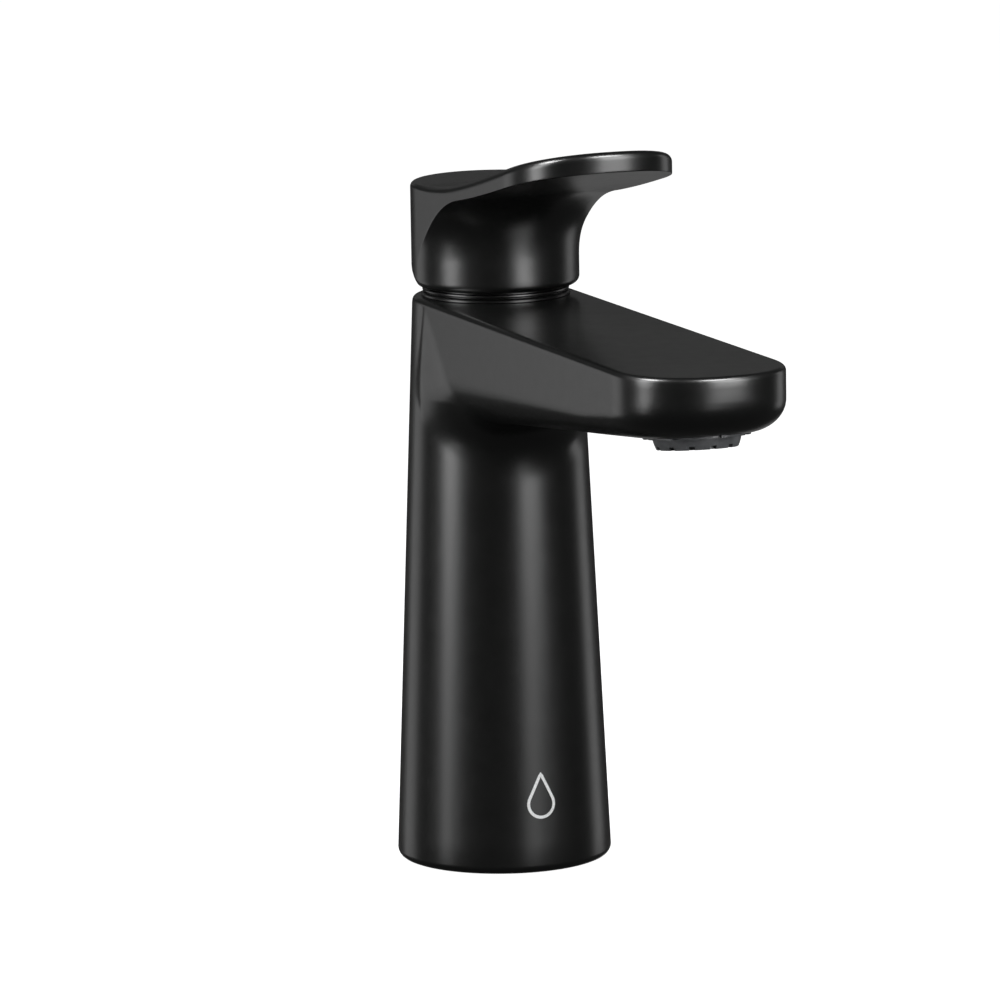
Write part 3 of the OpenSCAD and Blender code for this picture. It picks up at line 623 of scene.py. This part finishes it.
def ink():
    """White pad-print ink, slightly uneven."""
    m = Material("white_print_ink")
    m.tint(m.noise(2500, 4), (0.66, 0.67, 0.67), (0.86, 0.87, 0.87))
    m.ramp(m.noise(1800, 4), 0.4, 0.6, "Roughness")
    m.bump((m.noise(6000, 2), 0.00001, 0.3),)
    return m.mat


def plug():
    """Temperature plug: hot red on one half and cold blue on the other."""
    m = Material("temperature_plug")
    split = m.node("ShaderNodeSeparateXYZ")
    m.link(m.place, split.inputs["Vector"])
    made = m.node("ShaderNodeValToRGB")
    made.color_ramp.interpolation = "CONSTANT"
    made.color_ramp.elements[0].color = (0.45, 0.012, 0.01, 1)
    made.color_ramp.elements[1].position = 0.5
    made.color_ramp.elements[1].color = (0.01, 0.06, 0.42, 1)
    scale = m.node("ShaderNodeMapRange")
    scale.inputs["From Min"].default_value = -0.004
    scale.inputs["From Max"].default_value = 0.004
    m.link(split.outputs["X"], scale.inputs["Value"])
    m.link(scale.outputs["Result"], made.inputs["Fac"])
    m.link(made.outputs["Color"], m.bsdf.inputs["Base Color"])
    m.ramp(m.noise(600, 3), 0.2, 0.32, "Roughness")
    m.bump((m.noise(3000, 2), 0.00001, 0.2),)
    return m.mat


def give(obj, material):
    obj.data.materials.clear()
    obj.data.materials.append(material)


def dress_nodes():
    black = moulded("anthracite_plastic", (0.085, 0.088, 0.092), (0.125, 0.129, 0.135))
    white = moulded("natural_plastic", (0.62, 0.62, 0.58), (0.74, 0.73, 0.69))
    red = moulded("red_plastic", (0.36, 0.016, 0.012), (0.48, 0.03, 0.02))
    green = moulded("green_plastic", (0.05, 0.22, 0.09), (0.08, 0.30, 0.13))
    looks = {
        "waterway_core": brass(), "mounting_foot": brass(), "cartridge_nut": brass(),
        "core_seals": rubber(), "base_gasket": rubber(), "trim_ring_seal": rubber(), "port_seals": rubber(),
        "cartridge_seal": rubber(), "rotor_seal": rubber(), "aerator_washer": rubber(),
        "cartridge_housing": white, "cartridge_base": white, "cartridge_rotor": white, "disc_carrier": black,
        "aerator_housing": black, "aerator_nozzle": black, "aerator_grid": black,
        "fixed_disc": ceramic(), "moving_disc": ceramic(), "limit_ring": red, "indicator_plug": plug(),
        "cartridge_stem": steel(), "stem_pin": steel(), "set_screw": steel(), "aerator_screen": steel(),
        "flow_regulator": green,
    }
    for name, look in looks.items():
        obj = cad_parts[name]
        for i in range(len(obj.material_slots)):
            obj.material_slots[i].material = look


# ---------------------------------------------------------------- studio and camera
def make_floor():
    """A pale floor that only the camera sees, so that the low soft boxes reach the mixer through it."""
    bm = bmesh.new()
    corners = [(-9, -1.2, 0), (9, -1.2, 0), (9, 9, 0), (-9, 9, 0)]
    bm.faces.new([bm.verts.new(p) for p in corners])
    mesh = bpy.data.meshes.new("floor")
    bm.to_mesh(mesh)
    bm.free()
    floor = bpy.data.objects.new("floor", mesh)
    bpy.context.scene.collection.objects.link(floor)
    floor.location.z = -0.0002
    mat = bpy.data.materials.new("pale_floor")
    mat.use_nodes = True
    tree = mat.node_tree
    tree.nodes.clear()
    path = tree.nodes.new("ShaderNodeLightPath")
    seen = tree.nodes.new("ShaderNodeEmission")
    seen.inputs["Strength"].default_value = 0.98
    matte = tree.nodes.new("ShaderNodeBsdfDiffuse")
    matte.inputs["Color"].default_value = (0.45, 0.45, 0.45, 1)
    both = tree.nodes.new("ShaderNodeAddShader")
    unseen = tree.nodes.new("ShaderNodeBsdfTransparent")
    mix = tree.nodes.new("ShaderNodeMixShader")
    out = tree.nodes.new("ShaderNodeOutputMaterial")
    tree.links.new(seen.outputs["Emission"], both.inputs[0])
    tree.links.new(matte.outputs["BSDF"], both.inputs[1])
    tree.links.new(path.outputs["Is Camera Ray"], mix.inputs["Fac"])
    tree.links.new(unseen.outputs["BSDF"], mix.inputs[1])
    tree.links.new(both.outputs["Shader"], mix.inputs[2])
    tree.links.new(mix.outputs["Shader"], out.inputs["Surface"])
    give(floor, mat)


def area_light(name, azimuth, elevation, distance, size, power, target=(0, -0.03, 0.09)):
    """A soft box at a direction around the mixer: azimuth 0 is in front, 90 is on its right (+X)."""
    a, e = math.radians(azimuth), math.radians(elevation)
    direction = Vector((math.sin(a) * math.cos(e), -math.cos(a) * math.cos(e), math.sin(e)))
    data = bpy.data.lights.new(name, "AREA")
    data.shape = "RECTANGLE"
    data.size, data.size_y = size
    data.energy = power
    lamp = bpy.data.objects.new(name, data)
    lamp.location = Vector(target) + direction * distance
    lamp.rotation_mode = "QUATERNION"
    lamp.rotation_quaternion = direction.to_track_quat("Z", "Y")
    bpy.context.scene.collection.objects.link(lamp)


def make_lights():
    area_light("left", -85, 16, 0.80, (0.34, 0.56), 3.2)
    area_light("left_high", -88, 50, 0.80, (0.30, 0.24), 5.0)
    area_light("left_low", -88, -12, 0.90, (0.20, 0.30), 0.22)
    area_light("front", 20, 16, 0.80, (0.34, 0.52), 3.5)
    area_light("front_high", 18, 48, 0.80, (0.26, 0.24), 4.0)
    area_light("front_low", 10, -12, 0.90, (0.24, 0.30), 0.16)
    area_light("rim_right", 104, 0, 1.20, (0.40, 0.90), 0.9)
    area_light("side_left", -147, -8, 1.60, (0.66, 0.70), 1.0)
    area_light("back", 160, 14, 2.60, (2.40, 0.25), 0.4)
    area_light("back_low", 158, -24, 1.60, (1.00, 0.40), 0.4)
    world = bpy.data.worlds.new("studio")
    bpy.context.scene.world = world
    world.use_nodes = True
    tree = world.node_tree
    tree.nodes.clear()
    path = tree.nodes.new("ShaderNodeLightPath")
    seen = tree.nodes.new("ShaderNodeBackground")
    seen.inputs["Color"].default_value = (1, 1, 1, 1)
    dim = tree.nodes.new("ShaderNodeBackground")
    dim.inputs["Color"].default_value = (1, 1, 1, 1)
    dim.inputs["Strength"].default_value = 0.035
    mix = tree.nodes.new("ShaderNodeMixShader")
    out = tree.nodes.new("ShaderNodeOutputWorld")
    tree.links.new(path.outputs["Is Camera Ray"], mix.inputs["Fac"])
    tree.links.new(dim.outputs["Background"], mix.inputs[1])
    tree.links.new(seen.outputs["Background"], mix.inputs[2])
    tree.links.new(mix.outputs["Shader"], out.inputs["Surface"])


def set_view():
    """Plain display colours, so that white stays white."""
    bpy.context.scene.view_settings.view_transform = "Standard"
    bpy.context.scene.view_settings.look = "None"


def make_camera():
    """The view from the left front and a little above, with a long lens and a slight roll."""
    azimuth, elevation, roll = math.radians(-20.846), math.radians(9.817), math.radians(-0.913)
    distance, across, height = 1.741, 0.0002, 0.0837
    back = Vector((math.sin(azimuth) * math.cos(elevation), -math.cos(azimuth) * math.cos(elevation),
                   math.sin(elevation)))
    level = Vector((math.cos(azimuth), math.sin(azimuth), 0))
    up = back.cross(level)
    right = math.cos(roll) * level + math.sin(roll) * up
    top = math.cos(roll) * up - math.sin(roll) * level
    data = bpy.data.cameras.new("camera")
    data.sensor_width = 36
    data.lens = 269.8
    data.clip_start, data.clip_end = 0.05, 50
    camera = bpy.data.objects.new("camera", data)
    place = level * across + Vector((0, 0, height)) + back * distance
    camera.matrix_world = Matrix.Translation(place) @ Matrix((right, top, back)).transposed().to_4x4()
    bpy.context.scene.collection.objects.link(camera)
    bpy.context.scene.camera = camera


# ---------------------------------------------------------------- assembly
black_coat = coating()
for maker, nodes, body_name in ((make_body, ("body_column", "body_spout"), "body"),
                                (make_lever, ("lever_handle",), "lever"),
                                (make_ring, ("trim_ring",), "body")):
    piece = maker()
    give(piece, black_coat)
    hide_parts(*nodes)
    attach(piece, body_name)

mark = make_mark()
give(mark, ink())
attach(mark, "body")

dress_nodes()
make_floor()
make_lights()
make_camera()
set_view()
